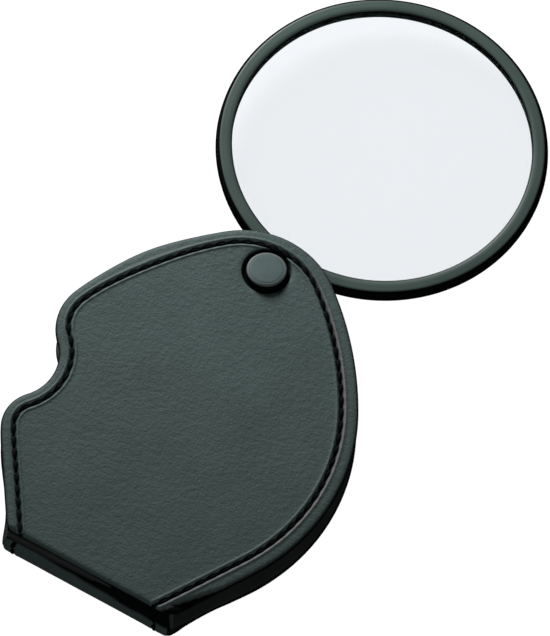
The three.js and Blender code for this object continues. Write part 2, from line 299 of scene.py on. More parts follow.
def notched_edge():
    """The left edge with the finger notch let into its longest arc."""
    top, shoulder, (centre, radius, start, end, _) = plain_edge()

    def corner(size, side):
        return crossing(NOTCH_CENTRE, NOTCH_RADIUS + size, centre, radius - size, side)

    upper = corner(NOTCH_UPPER_CORNER, 1)
    lower = corner(NOTCH_LOWER_CORNER, -1)
    upper_touch = polar(centre, upper)
    lower_touch = polar(centre, lower)
    hollow_end = polar(NOTCH_CENTRE, lower) - 2 * math.pi
    return [
        top,
        shoulder,
        (centre, radius, start, upper_touch, False),
        (upper, NOTCH_UPPER_CORNER, upper_touch, polar(upper, NOTCH_CENTRE), False),
        (NOTCH_CENTRE, NOTCH_RADIUS, polar(NOTCH_CENTRE, upper), hollow_end, True),
        (lower, NOTCH_LOWER_CORNER, polar(lower, NOTCH_CENTRE), lower_touch, False),
        (centre, radius, lower_touch, end, False),
    ]


def arc_points(arc, inset):
    """Evenly spaced points of one arc of the edge, drawn in by inset."""
    centre, radius, start, end, hollow = arc
    steps = max(2, round(abs(end - start) * radius / SAMPLE_STEP))
    angles = np.linspace(start, end, steps + 1)
    size = radius + inset if hollow else radius - inset
    return centre + size * direction(angles)


def flare_end(inset):
    """The straight flare of the left edge: its start, and its corner with the spine's end."""
    centre, radius, _, end, _ = plain_edge()[-1]
    along = direction(end + math.pi / 2)
    outward = direction(end)
    start = centre + (radius - inset) * outward
    edge = centre + radius * outward
    spine_x = edge[0] + along[0] * (SPINE_Y - edge[1]) / along[1]
    run = (spine_x + inset - start[0]) / along[0]
    return start, start + run * along


FLARE_STEPS = round(np.linalg.norm(np.subtract(*flare_end(0))) / SAMPLE_STEP)


def left_edge(arcs, inset):
    """Points of one edge in plan, from the top of the case down to the corner of the spine."""
    pieces = [arc_points(arc, inset) for arc in arcs]
    points = np.concatenate([pieces[0]] + [p[1:] for p in pieces[1:]])
    start, corner = flare_end(inset)
    shares = np.linspace(0, 1, FLARE_STEPS + 1)[1:, None]
    return np.concatenate((points, start + shares * (corner - start)))


# ---- the folded sheet


def spine_path():
    """The sheet's outer line round the spine, as (y, z) points from front to rear."""
    points = np.array([(SPINE_Y + out, height) for out, height in SPINE_PROFILE])
    padded = np.vstack((2 * points[0] - points[1], points, 2 * points[-1] - points[-2]))
    t = np.linspace(0, 1, SPINE_SUBDIVISIONS, endpoint=False)[:, None]
    curve = []
    for a, b, c, d in zip(padded, padded[1:], padded[2:], padded[3:]):
        square, cube = 2 * a - 5 * b + 4 * c - d, 3 * b - a - 3 * c + d
        curve.append((2 * b + (c - a) * t + square * t**2 + cube * t**3) / 2)
    return np.vstack(curve + [points[-1:]])


SPINE_PATH = spine_path()
SPINE_LENGTHS = lengths_along(SPINE_PATH)
SPINE_LENGTH = SPINE_LENGTHS[-1]
FRONT_START_Y = SPINE_PATH[0][0]
REAR_START_Y = SPINE_PATH[-1][0]
SPINE_LINES = np.hstack((SPINE_PATH, np.gradient(SPINE_PATH, SPINE_LENGTHS, axis=0))).T

# Where the rivet passes through the sheet, in front and behind.
RIVET_IN_FRONT = np.array((PIVOT[0], PIVOT[1] - FRONT_START_Y))
RIVET_BEHIND = np.array((PIVOT[0], REAR_START_Y - SPINE_LENGTH - PIVOT[1]))


def fold(points):
    """Takes sheet points (x, along, height) to the folded case.

    along is 0 where the flat front panel starts, grows up the front panel, and falls round
    the spine to the rear panel. height is along the sheet's outward normal.
    """
    x, along, height = np.asarray(points, float).T
    down = np.clip(-along, 0, SPINE_LENGTH)
    y, z, run, rise = (np.interp(down, SPINE_LENGTHS, line) for line in SPINE_LINES)
    size = np.hypot(run, rise)
    y += np.maximum(along, 0) + np.maximum(-along - SPINE_LENGTH, 0)
    return np.stack((x, y + height * rise / size, z - height * run / size), 1)


def skew_spine(points):
    """Turns the fold a little in plan, fading out up the panels."""
    share = 1 - smoothstep(points[:, 1], SPINE_Y, SPINE_Y + SKEW_REACH)
    points[:, 1] -= SPINE_SKEW * share * (points[:, 0] - CASE_SHIFT) / SPINE_HALF_WIDTH
    return points


def inner_fold(points):
    """The same for the sheet's inner face, which is square at the spine like the lining."""
    folded = fold(points * (1, 1, 0))
    folded[:, 1] = np.maximum(folded[:, 1], SPINE_Y + SPINE_WALL)
    folded[:, 2] = np.clip(folded[:, 2], LEATHER_THICKNESS, THICKNESS - LEATHER_THICKNESS)
    return folded


REAR_PINCH_Y = notched_edge()[3][0][1]  # level with the centre of the notch's upper corner


def flared(edge, outward):
    """The rear panel's edge: it flares into the corner of the fold, and is drawn in above.

    On the left it is also drawn in at the shoulder over the notch, where it hides from the front.
    """
    run = edge[:, 1] - SPINE_Y
    offset = SPINE_FLARE[outward > 0] * bell(run, FLARE_SPAN)
    offset -= REAR_PINCH * bell(run - WAIST_AT, WAIST_SPAN)
    if outward < 0:
        offset -= REAR_PINCH * bell(edge[:, 1] - REAR_PINCH_Y, REAR_PINCH_SPAN)
    return edge + outward * offset[:, None] * (1, 0)


def spine_end(top, bottom, outward, inset):
    """The end of the fold, from the front panel's corner to the rear one's."""
    shares = np.linspace(0, 1, round(SPINE_LENGTH / SAMPLE_STEP) + 1)[1:-1, None]
    swing = smoothstep(shares, 0.0, 0.7)
    square = 0.9 * min(inset, 0.6) * np.sin(math.pi * shares) ** 0.3
    along = top[1] + shares * (bottom[1] - top[1])
    return np.hstack((top[0] + swing * (bottom[0] - top[0]) + outward * square, along))


def sheet_loop(inset):
    """The unfolded sheet's outline, drawn in by inset, anticlockwise seen from outside."""
    shift = np.array((CASE_SHIFT + SEAM_SHIFT * smoothstep(inset, 0.6, BORDER), 0))
    left = left_edge(notched_edge(), inset)
    border = 1 - smoothstep(inset, 1.0, BORDER)
    swell = SHOULDER_SWELL * border - SHOULDER_PINCH * (1 - border)
    swell *= bell(gap_to(left, SHOULDER_AT), SHOULDER_SPAN)
    left = left + swell[:, None] * SHOULDER_OUTWARD + shift
    right = left_edge(plain_edge(), inset) * (-1, 1) + shift
    to_front = (0, -FRONT_START_Y)
    to_rear = (0, REAR_START_Y - SPINE_LENGTH)
    front_left, front_right = left + to_front, right + to_front
    rear_left = flared(left, -1) * (1, -1) + to_rear
    rear_right = flared(right, 1) * (1, -1) + to_rear
    left_end = spine_end(front_left[-1], rear_left[-1], -1, inset)
    right_end = spine_end(rear_right[-1], front_right[-1], 1, inset)
    there = (front_left, left_end, rear_left[::-1])
    back = (rear_right[1:], right_end, front_right[::-1][:-1])
    return np.concatenate(there + back)


# The seam, with its first point again at the end.
SEAM_LINE = sheet_loop(SEAM_INSET)
SEAM_LINE = np.vstack((SEAM_LINE, SEAM_LINE[:1]))
SEAM_AT = lengths_along(SEAM_LINE)
SEAM_TOTAL = SEAM_AT[-1]
STITCH_COUNT = round(SEAM_TOTAL / STITCH_PITCH)
STITCH_LENGTH = SEAM_TOTAL / STITCH_COUNT

# Distance along the seam from each of its points to the nearest stitch hole.
SEAM_PHASE = np.mod(SEAM_AT[:-1], STITCH_LENGTH)
HOLE_DISTANCE = np.minimum(SEAM_PHASE, STITCH_LENGTH - SEAM_PHASE)

# ---- relief of the leather, and its painted shade and highlight


def wander(points, scale, seed):
    """Smooth noise from -1 to 1 over sheet points, with features about scale long."""
    places = points[:, :2] / scale
    return np.array([noise.noise((x, y, seed * 17.3)) for x, y in places])


CAP_GROOVE = 4.78  # outer radius of the groove pressed round the rivet's cap
CAP_GROOVE_DEPTH = 0.7
FLANGE_DISH = 0.5
FLANGE_DISH_SLOPE = (3.7, 4.5)  # radii between which the dish behind fades out


def rivet_dish(points):
    """How far the leather is drawn in under the rivet's cap in front and its flange behind."""
    front, behind = gap_to(points, RIVET_IN_FRONT), gap_to(points, RIVET_BEHIND)
    groove = CAP_GROOVE_DEPTH * (1 - smoothstep(front, CAP_GROOVE - 0.12, CAP_GROOVE + 0.16))
    shoulder = 0.12 * (1 - smoothstep(front, CAP_GROOVE, CAP_GROOVE + 1.1))
    return groove + shoulder + FLANGE_DISH * (1 - smoothstep(behind, *FLANGE_DISH_SLOPE))


def face_relief(points):
    """Slow rise and fall of the leather over the boards, just below the outer surface."""
    return 0.03 * wander(points, 11.0, 1) + 0.018 * wander(points, 4.5, 2) - 0.03


def pull(along):
    """How deep the thread is drawn in: fully on the panels, less where it crosses the fold."""
    down = -np.asarray(along)
    on_fold = smoothstep(down, 0.2, 1.4) * (1 - smoothstep(down, SPINE_LENGTH - 1.4, SPINE_LENGTH))
    return 1 - 0.75 * on_fold


def seam_relief(inset, hole_distance):
    """Height of the border, the seam's channel and the raised leather along both its sides."""
    from_seam = inset - SEAM_INSET
    near_hole = bell(hole_distance, HOLE_RADIUS)
    channel = CHANNEL_DEPTH * bell(from_seam, CHANNEL_HALF_WIDTH * (1 - 0.3 * near_hole), 4)
    hole = HOLE_DEPTH * near_hole * bell(from_seam, HOLE_RADIUS)
    ridges = sum(rise * bell(from_seam - at, width) for at, rise, width in SEAM_RIDGES)
    return ridges - channel - hole


def seam_shade(inset, hole_distance, x):
    """Painted shade in the channel beside the thread, and painted highlight on the ridges, by
    side.
    """
    from_seam = inset - SEAM_INSET
    low, high = SEAM_SHADE_HALF_WIDTH
    # painted shade in the seam's channel, scalloped by the holes
    channel_shade = 0.95 * bell(from_seam, low + (high - low) * smoothstep(hole_distance, 0.15, 1.0), 6)
    # painted highlight on the ridge that faces the light: the border side on the right, the face
    # side on the left
    right = smoothstep(x, 2, 20)
    highlight = (0.15 + 1.15 * right) * bell(from_seam + 0.7, 0.2)
    highlight += 0.3 * (1 - right) * bell(from_seam - 0.68, 0.15)
    return (1 + highlight) * (1 - channel_shade)


def skive(ring, inset):
    """Thins the border into the two right-hand corners of the fold, and paints shade on it there.
    """
    run = np.maximum(ring[:, 1], -SPINE_LENGTH - ring[:, 1])
    near = (ring[:, 0] > 0) * (run > -2.2) * (1 - smoothstep(run, 0, SKIVE_REACH))
    limit = SKIVE_WIDTH * near - 0.4 * (1 - near)
    outside = 1 - smoothstep(inset, limit - 0.35, limit + 0.1)
    thin = outside * near * smoothstep(run, 0, 1.5) * SKIVE_DEPTH / LEATHER_THICKNESS
    ring[:, 2] -= (ring[:, 2] + LEATHER_THICKNESS) * thin
    # painted shade on the border outside the thinned limit, into the corners
    return 1 - 0.94 * outside * (near > 0)


def spine_shade(points):
    """Painted shade: the valley under the front edge is painted black, and reaches lower towards
    the right.
    """
    x, down = points[:, 0], -points[:, 1]
    height = np.interp(down, SPINE_LENGTHS, SPINE_PATH[:, 1])
    share = smoothstep(x, -17, 17)
    floor_at = VALLEY[0] - VALLEY_FALL * share + 0.25 * wander(points, 2.5, 5)
    ceiling_at = VALLEY[1] + 0.2 * wander(points, 1.7, 6)
    valley = smoothstep(height, floor_at - 0.5, floor_at + 0.4)
    valley *= 1 - smoothstep(height, ceiling_at - 0.2, ceiling_at + 0.25)
    on_spine = (down > 0) & (down < SPINE_LENGTH)
    return 1 - 0.97 * valley * on_spine


def falloff_shade(points):
    """Painted shade: the leather darkens towards the fold, where the light falls off."""
    up_panel = np.maximum(points[:, 1], -SPINE_LENGTH - points[:, 1])
    return 0.84 + 0.16 * smoothstep(up_panel, 0, FALLOFF_REACH)


def rivet_shade(points):
    """Painted shade: the leather is painted black in the groove and under the cap."""
    gap = gap_to(points, RIVET_IN_FRONT)
    return 0.04 + 0.96 * smoothstep(gap, CAP_GROOVE - 0.05, CAP_GROOVE + 0.2)


# The sheet's edge, from its inner face round to its outer one: (inset, height).
EDGE_PROFILE = [(0.42, -1.42), (0.16, -1.4), (0.04, -1.3), (0.0, -1.12), (0.0, -0.88)]
EDGE_PROFILE += [(0.03, -0.62), (0.11, -0.4), (0.24, -0.24), (0.42, -0.13), (0.66, -0.06)]
EDGE_PROFILE += [(0.95, -0.02)]
FACE_INSETS = [1.22, 1.48, 1.66, 1.78, 1.88, 1.97, 2.06, 2.14, 2.21, 2.28, 2.36, 2.44, 2.53, 2.66]
FACE_INSETS += [2.85, 3.05, 3.24, 3.37, 3.46, 3.54, 3.61, 3.68, 3.75, 3.83, 3.92, 4.02, 4.14, 4.28]
FACE_INSETS += [4.43, 4.6, 4.8, 5.0, INNERMOST_INSET]


def raised(points, height=0.0):
    """Sheet points in plan, all at one height."""
    return np.column_stack((points, np.full(len(points), height)))


def outer_rings():
    """Loops of sheet points from the rounded edge in to the flat of the face, and their painted
    shades.
    """
    rings = []
    shades = []
    for inset, height in EDGE_PROFILE[1:]:
        ring = raised(sheet_loop(inset), height)
        # painted shade: the rounded edge and its wall darken to nearly black
        shade = 0.06 + 0.94 * smoothstep(height, -0.34, -0.04)
        shades.append(shade * skive(ring, inset))
        rings.append(ring)
    for inset in FACE_INSETS:
        ring = raised(sheet_loop(inset))
        drawn = pull(ring[:, 1])
        ring[:, 2] = drawn * seam_relief(inset, HOLE_DISTANCE)
        share = smoothstep(inset, 3.4, INNERMOST_INSET)
        ring[:, 2] += share * face_relief(ring) - rivet_dish(ring)
        shade = 1 + drawn * (seam_shade(inset, HOLE_DISTANCE, ring[:, 0]) - 1)
        shades.append(shade * skive(ring, inset))
        rings.append(ring)
    return rings, shades


def inside(points, loop):
    """Which points lie inside a closed loop."""
    x, y = points[:, 0:1], points[:, 1:2]
    x0, y0 = loop[:, 0], loop[:, 1]
    x1, y1 = np.roll(x0, -1), np.roll(y0, -1)
    spans = (y0 > y) != (y1 > y)
    rise = np.where(y1 == y0, 1e-9, y1 - y0)
    return (spans & (x < (x1 - x0) * (y - y0) / rise + x0)).sum(1) % 2 == 1


def well_inside(points, loop, gap):
    """The points that lie inside a closed loop by more than this gap."""
    points = points[inside(points, loop)]
    clearance = np.array([np.min(np.abs(loop - p).max(1)) for p in points])
    return points[clearance > gap]


def hex_grid(low, high, step):
    """Points in staggered rows between two corners."""
    rows = []
    for i, y in enumerate(np.arange(low[1], high[1], step * math.sqrt(3) / 2)):
        xs = np.arange(low[0] + (i % 2) * step / 2, high[0], step)
        rows.append(np.column_stack((xs, np.full(len(xs), y))))
    return np.concatenate(rows)


def square_grid(xs, ys):
    return np.stack(np.meshgrid(xs, ys), -1).reshape(-1, 2)


def rivet_rings():
    """Points on circles round the rivet, close together at its groove and its flange."""
    radii = [0.6, 1.4, 2.2, 3.0, 3.5, 3.9, 4.2, 4.45, 4.58, 4.66, 4.74, 4.82, 4.9, 4.98, 5.08]
    radii += [5.22, 5.42, 5.7, 6.05, 6.45]
    turn = np.linspace(0, 2 * math.pi, 128, endpoint=False)
    rings = []
    for i, radius in enumerate(radii):
        step = 1 if radius > 3.4 else 8
        angles = turn[::step] + (i % 2) * math.pi * step / len(turn)
        rings.append(radius * direction(angles))
    return np.concatenate(rings)


def interior_points(loop):
    """Points inside the innermost loop: coarse on the flat, fine at the rivet and the spine."""
    coarse = hex_grid(loop.min(0), loop.max(0), 1.1)
    at_spine = (coarse[:, 1] < 0.8) & (coarse[:, 1] > -SPINE_LENGTH - 0.8)
    coarse = coarse[~at_spine]
    for centre in (RIVET_IN_FRONT, RIVET_BEHIND):
        coarse = coarse[gap_to(coarse, centre) > 6.8]
    xs = np.arange(loop[:, 0].min(), loop[:, 0].max(), 0.9)
    spine = square_grid(xs, np.arange(-SPINE_LENGTH - 0.7, 0.7, 0.28))
    fine = [centre + rivet_rings() for centre in (RIVET_IN_FRONT, RIVET_BEHIND)]
    return well_inside(np.concatenate([coarse, spine] + fine), loop, 0.3)


def outline_edges(count, first=0):
    """The edges of a closed outline whose points have indices from first."""
    return [(first + i, first + (i + 1) % count) for i in range(count)]


def triangles(points, edges):
    """Triangles that fill these closed outlines, as indices of the points."""
    _, _, faces, origins, _, _ = delaunay_2d_cdt([Vector(p) for p in points], edges, [], 1, 1e-7)
    return [tuple(origins[i][0] for i in face) for face in faces]


def filling(loop, extra, first_index):
    """Triangles that close a loop of the sheet, from its own vertices and the extra ones."""
    corners = triangles(np.concatenate((loop, extra)), outline_edges(len(loop)))
    return [tuple(first_index + i for i in face) for face in corners]


def outer_fill(ring, first_index):
    """Vertices and faces that close the sheet inside its innermost loop."""
    extra = interior_points(ring[:, :2])
    flat = raised(extra, seam_relief(INNERMOST_INSET, STITCH_LENGTH / 2))
    flat[:, 2] += face_relief(flat) - rivet_dish(flat)
    return flat, filling(ring[:, :2], extra, first_index)


def inner_fill(ring, first_index):
    """The plain inner face, with enough points across it to turn at the spine."""
    loop = ring[:, :2]
    (left, bottom), (right, top) = loop.min(0), loop.max(0)
    spans = (bottom, -SPINE_LENGTH - 1, 3.0), (-SPINE_LENGTH - 0.5, 0.8, 0.5), (1.5, top, 3.0)
    alongs = np.concatenate([np.arange(*span) for span in spans])
    extra = well_inside(square_grid(np.arange(left, right, 3.0), alongs), loop, 0.4)
    return raised(extra), filling(loop, extra, first_index)


def leather_case():
    """The outer leather: one sheet with a rounded edge, folded round the spine."""
    rings, shades = outer_rings()
    count = len(rings[0])
    faces = []
    for i in range(len(rings) - 1):
        faces += ring_faces(count, i * count, (i + 1) * count)
    flat, front_faces = outer_fill(rings[-1], (len(rings) - 1) * count)
    sheet = np.concatenate(rings + [flat])
    shade = np.concatenate(shades + [np.ones(len(flat))])
    shade *= spine_shade(sheet) * rivet_shade(sheet) * falloff_shade(sheet)
    outer = skew_spine(fold(sheet))
    start = len(outer)
    rim = raised(sheet_loop(EDGE_PROFILE[0][0]))
    flat_inner, inner_faces = inner_fill(rim, start)
    faces += front_faces + [f[::-1] for f in ring_faces(count, 0, start)] + inner_faces
    inner = inner_fold(np.concatenate((rim, flat_inner)))
    case = make_object("case_leather", np.concatenate((outer, inner)), faces)
    # painted shade: the inner face, shut inside the case, is kept dark
    return paint(case, np.concatenate((shade, np.full(len(inner), 0.2))))


# ---- stitches

STITCH_WIDTH = 0.43
STITCH_HALF_HEIGHT = 0.27
STITCH_SLANT = 0.22
STITCH_DEPTH = 0.66  # of the middle of the thread at a hole
STITCH_RISE = 0.36
STITCH_RINGS = 13
STITCH_SIDES = 14
PLIES = 3
PLY_DEPTH = 0.09
PLY_TWIST = 3.2 * math.pi  # over the length of a stitch


def on_seam(distance):
    """The sheet point at this distance along the seam."""
    distance = np.mod(distance, SEAM_TOTAL)
    return np.array([np.interp(distance, SEAM_AT, line) for line in SEAM_LINE.T])


def seam_point(distance, shift):
    """A point shifted off the seam towards the middle of the sheet, and the way inwards."""
    tangent = on_seam(distance + 0.05) - on_seam(distance - 0.05)
    tangent /= np.linalg.norm(tangent)
    inward = np.array((-tangent[1], tangent[0]))
    return on_seam(distance) + shift * inward, inward


def stitch(start, first_index, jitter):
    """One stitch: a slanted, plied length of thread that dips into a hole at each end."""
    vertices = []
    for i in range(STITCH_RINGS):
        share = i / (STITCH_RINGS - 1)
        across = STITCH_SLANT * (1 - 2 * share) + jitter
        distance = start + STITCH_LENGTH * (0.5 + 0.97 * (share - 0.5))
        spot, inward = seam_point(distance, across)
        rise = math.sin(math.pi * share) ** 0.55
        height = pull(on_seam(distance)[1]) * (STITCH_RISE * rise - STITCH_DEPTH)
        taper = 0.35 + 0.65 * math.sin(math.pi * (0.06 + 0.88 * share)) ** 0.7
        for k in range(STITCH_SIDES):
            angle = 2 * math.pi * k / STITCH_SIDES
            size = taper * (1 + PLY_DEPTH * math.cos(PLIES * angle + share * PLY_TWIST))
            side = STITCH_WIDTH * size * math.cos(angle)
            lift = STITCH_HALF_HEIGHT * size * math.sin(angle)
            vertices.append((*(spot + side * inward), height + lift))
    faces = []
    for i in range(STITCH_RINGS - 1):
        low = first_index + i * STITCH_SIDES
        faces += ring_faces(STITCH_SIDES, low, low + STITCH_SIDES)
    last = first_index + (STITCH_RINGS - 1) * STITCH_SIDES
    faces.append(tuple(reversed(range(first_index, first_index + STITCH_SIDES))))
    faces.append(tuple(range(last, last + STITCH_SIDES)))
    return vertices, faces


def seam_stitches():
    """Every stitch of the seam, as one piece."""
    vertices = []
    faces = []
    for i in range(STITCH_COUNT):
        jitter = 0.05 * noise.noise((i * 0.83, 4.1, 7.7))
        points, sides = stitch(i * STITCH_LENGTH, len(vertices), jitter)
        vertices += points
        faces += sides
    return make_object("seam_stitches", skew_spine(fold(vertices)), faces)


# ---- ring, lens and rivet

RING_SEGMENTS = 240
RING_INNER = 29.7
LIP_UNDERCUT = 0.3
RING_BORE = 30.9
RING_OUTER = 32.95
RING_EDGE = 31.75  # where the face turns over into the edge
LIP_DEPTH = 1.32


def ring_profile():
    """Section of the ring, anticlockwise from the bottom of the bore."""
    low, high = RING_LOW[2], RING_HIGH[2]
    middle = (low + high) / 2
    rib = 0.1
    wall = RING_OUTER - rib
    turn = wall - RING_EDGE
    profile = [(RING_BORE, low + 0.12), (RING_BORE + 0.12, low)]
    profile += arc_profile((wall - turn, low + turn), turn, -90, 0, 8)
    profile += [(wall, middle - 0.22), (RING_OUTER, middle - 0.14)]
    profile += [(RING_OUTER, middle + 0.04), (wall, middle + 0.2)]
    profile += arc_profile((wall - turn, high - turn), turn, 0, 84, 10)
    profile += [(RING_EDGE - 0.12, high - 0.01), (31.0, high), (RING_INNER + 0.5, high - 0.01)]
    profile += [(RING_INNER + 0.46, high - 0.03), (RING_INNER + 0.12, high - 0.13)]
    profile += arc_profile((RING_INNER + 0.12, high - 0.25), 0.12, 90, 180, 4)
    step, lip = RING_INNER + LIP_UNDERCUT, high - LIP_DEPTH
    profile += [(RING_INNER, high - 0.4), (step, lip + 0.1), (step + 0.08, lip)]
    return profile + [(RING_BORE, lip)]


def ring_shade(vertices):
    """The ring's face keeps its grey-green; its edges, walls and bore are painted nearly black as
    shade.
    """
    radius = gap_to(vertices, LENS_CENTRE[:2])
    depth = RING_HIGH[2] - vertices[:, 2]
    outside = smoothstep(radius, RING_EDGE + 0.15, RING_EDGE + 0.6)
    inside_edge = 1 - smoothstep(radius, RING_INNER + 0.2, RING_INNER + 0.48)
    deep = smoothstep(depth, 0.15, 0.5)
    return 1 - 0.85 * np.maximum.reduce((outside, inside_edge, deep))


def lens_ring():
    """The ring with its lug, joined into one body."""
    ring = lathe("lens_ring_fine", ring_profile(), LENS_CENTRE, RING_SEGMENTS)
    lug = pivot_lug()
    join = ring.modifiers.new("lug", "BOOLEAN")
    join.operation = "UNION"
    join.solver = "EXACT"
    join.object = lug
    apply_modifiers(ring)
    bpy.data.objects.remove(lug)
    vertices = np.array([tuple(v.co) for v in ring.data.vertices]) / MM
    return smooth_by_angle(paint(ring, ring_shade(vertices)), 35)


def apply_modifiers(obj):
    """Makes the modifiers' result the object's own mesh."""
    graph = bpy.context.evaluated_depsgraph_get()
    mesh = bpy.data.meshes.new_from_object(obj.evaluated_get(graph))
    obj.modifiers.clear()
    obj.data = mesh


def pivot_lug():
    """A flat ear with a rounded end and a hole, between the ring and the rivet."""
    root, overlap = 7.0, 0.5  # half width at the ring, and how far it runs in at its corners
    arm = np.linalg.norm(LENS_CENTRE[:2] - PIVOT[:2])
    reach = arm - math.sqrt(RING_OUTER**2 - root**2)
    inner = RING_OUTER - 1.0  # the end inside the ring is an arc of this radius
    outer = [(root, reach + overlap), (root, reach)] + arc_profile((0, 0), 5.0, 0, -180, 40)
    outer += [(-root, reach), (-root, reach + overlap)]
    sweep = np.linspace(-root, root, 12)[1:-1]
    outer += [(x, arm - math.sqrt(inner**2 - x * x)) for x in sweep]
    return extruded_ear(outer, arc_profile((0, 0), 1.95, 0, 360, 40)[:-1])


def extruded_ear(outer, hole):
    """The lug as a closed body, from its outline and its hole in the lens arm's own plan."""
    cos, sin = math.cos(-LENS_LEAN), math.sin(-LENS_LEAN)
    low, high = RING_LOW[2] + 0.02, RING_HIGH[2] - 0.02
    plan = [(PIVOT[0] + x * cos - y * sin, PIVOT[1] + x * sin + y * cos) for x, y in outer + hole]
    n, m = len(outer), len(hole)
    total = n + m
    caps = triangles(plan, outline_edges(n) + outline_edges(m, n))
    caps = [cap for cap in caps if min(cap) < n]  # the rest lie across the hole
    vertices = [(x, y, height) for height in (low, high) for x, y in plan]
    sides = ring_faces(n, 0, total) + ring_faces(m, n, total + n)
    tops = [tuple(total + i for i in cap) for cap in caps]
    return make_object("lug", vertices, caps + tops + sides)


def lens():
    """A biconvex lens with a narrow ground rim."""
    radius = (LENS_HIGH[0] - LENS_LOW[0]) / 2
    sag = 2.0
    ball = (radius**2 + sag**2) / (2 * sag)
    radii = np.linspace(0, radius, 29)
    rise = np.sqrt(ball**2 - radii**2) - (ball - sag)
    profile = [(r, LENS_LOW[2] + sag - h) for r, h in zip(radii, rise)]
    profile += [(r, LENS_HIGH[2] - sag + h) for r, h in zip(radii[::-1], rise[::-1])]
    return turned("lens_fine", profile, LENS_CENTRE, 160, 30)


def retaining_ring():
    """The snap ring that holds the lens in from behind."""
    low, high = RETAINER_LOW[2], RETAINER_HIGH[2]
    outer = (RETAINER_HIGH[0] - RETAINER_LOW[0]) / 2
    inner, edge = RING_INNER, 0.15
    profile = [(inner + edge, low), (outer - edge, low), (outer, low + edge), (outer, high)]
    profile += [(inner, high), (inner, low + edge)]
    return turned("retaining_ring_fine", profile, LENS_CENTRE, RING_SEGMENTS, 35)


CAP_TOP = CAP_HIGH[2] - 0.85
CAP_FOOT = CAP_LOW[2] - CAP_GROOVE_DEPTH
CAP_WALL = 0.35
CAP_LEAN = 0.2  # slope of the cap's face
CAP_LOW_SIDE = direction(math.radians(119))


def lean_over(obj):
    """Tips the top of the cap and what is in it, leaving its foot level."""
    for vertex in obj.data.vertices:
        x, y, z = np.array(vertex.co) / MM
        offset = (x - PIVOT[0], y - PIVOT[1]) @ CAP_LOW_SIDE
        share = (z - CAP_FOOT) / (CAP_TOP - CAP_FOOT)
        vertex.co.z -= CAP_LEAN * offset * min(max(share, 0), 1) * MM
    return obj


def rivet_cap():
    """A pressed cap: rolled foot, upright wall painted black as shade, bevel with a painted
    highlight, faintly domed face.
    """
    face, rim, top = 3.34, 3.93, CAP_TOP
    profile = [(0, top - CAP_WALL), (rim - CAP_WALL, top - CAP_WALL), (rim - CAP_WALL, CAP_FOOT)]
    profile += [(rim + 0.1, CAP_FOOT), (rim + 0.14, CAP_FOOT + 0.1), (rim + 0.02, CAP_FOOT + 0.4)]
    profile += [(rim, top - 0.46)] + arc_profile((rim - 0.16, top - 0.4), 0.16, 0, 60, 5)
    profile += [(face + 0.24, top - 0.15), (face + 0.1, top - 0.12)]
    profile += [(face + 0.03, top - 0.14), (face - 0.06, top - 0.12)]
    profile += [(face * s, top - 0.08 * s * s) for s in (0.94, 0.88, 0.8, 0.65, 0.5, 0.3, 0.15)]
    body = lathe("rivet_cap_fine", profile + [(0, top)], PIVOT, 128)
    points = np.array([tuple(v.co) for v in body.data.vertices]) / MM
    from_face = gap_to(points, PIVOT[:2]) - face
    # painted highlight on the bevel, a thin painted shade in the crease at the face's edge, and
    # black painted shade on the wall below
    shade = 1 + 0.6 * bell(from_face - 0.36, 0.2) - 0.35 * bell(from_face - 0.02, 0.05)
    shade[points[:, 2] < top - 0.4] = 0.08
    return smooth_by_angle(lean_over(paint(body, shade)), 40)


def rivet_pin():
    """The pin, with its head held up inside the cap."""
    tip = node_box("rivet_pin")[0][2]
    low, high, edge = CAP_TOP - 0.95, CAP_TOP - 0.45, 0.1
    shaft, head = 1.05, 3.3
    profile = [(0, tip), (shaft - 0.2, tip), (shaft, tip + 0.3), (shaft, low), (head - edge, low)]
    profile += [(head, low + edge), (head, high - edge), (head - edge, high), (0, high)]
    return smooth_by_angle(lean_over(lathe("rivet_pin_fine", profile, PIVOT, 64)), 40)


def rivet_post():
    """The tube, with its rear flange rolled at the rim and dished at the hole."""
    low, high = POST_LOW[2], POST_HIGH[2]
    flange = (POST_HIGH[0] - POST_LOW[0]) / 2
    tube, bore = 1.85, 1.2
    profile = [(bore, low + 0.25), (bore + 0.25, low + 0.05), (bore + 0.5, low)]
    profile += [(flange - 0.3, low)] + arc_profile((flange - 0.2, low + 0.2), 0.2, -90, 90, 8)
    profile += [(tube, low + 0.4), (tube, high), (bore, high)]
    body = turned("rivet_post_fine", profile, PIVOT, 96, 40)
    return paint(body, np.ones(len(body.data.vertices)))


def washer(node):
    """A flat washer with broken edges, in place of the CAD one."""
    low, high = node_box(node)
    outer, inner, edge = (high[0] - low[0]) / 2, 2.1, 0.12
    bottom, top = low[2], high[2]
    profile = [(inner, bottom), (outer - edge, bottom), (outer, bottom + edge)]
    profile += [(outer, top - edge), (outer - edge, top), (inner, top)]
    return turned(node + "_fine", profile, PIVOT, 96, 35)


# ---- materials


HIGHLIGHT_WARMTH = (0.4, -0.28, -0.22)  # change of red, green and blue under a painted highlight
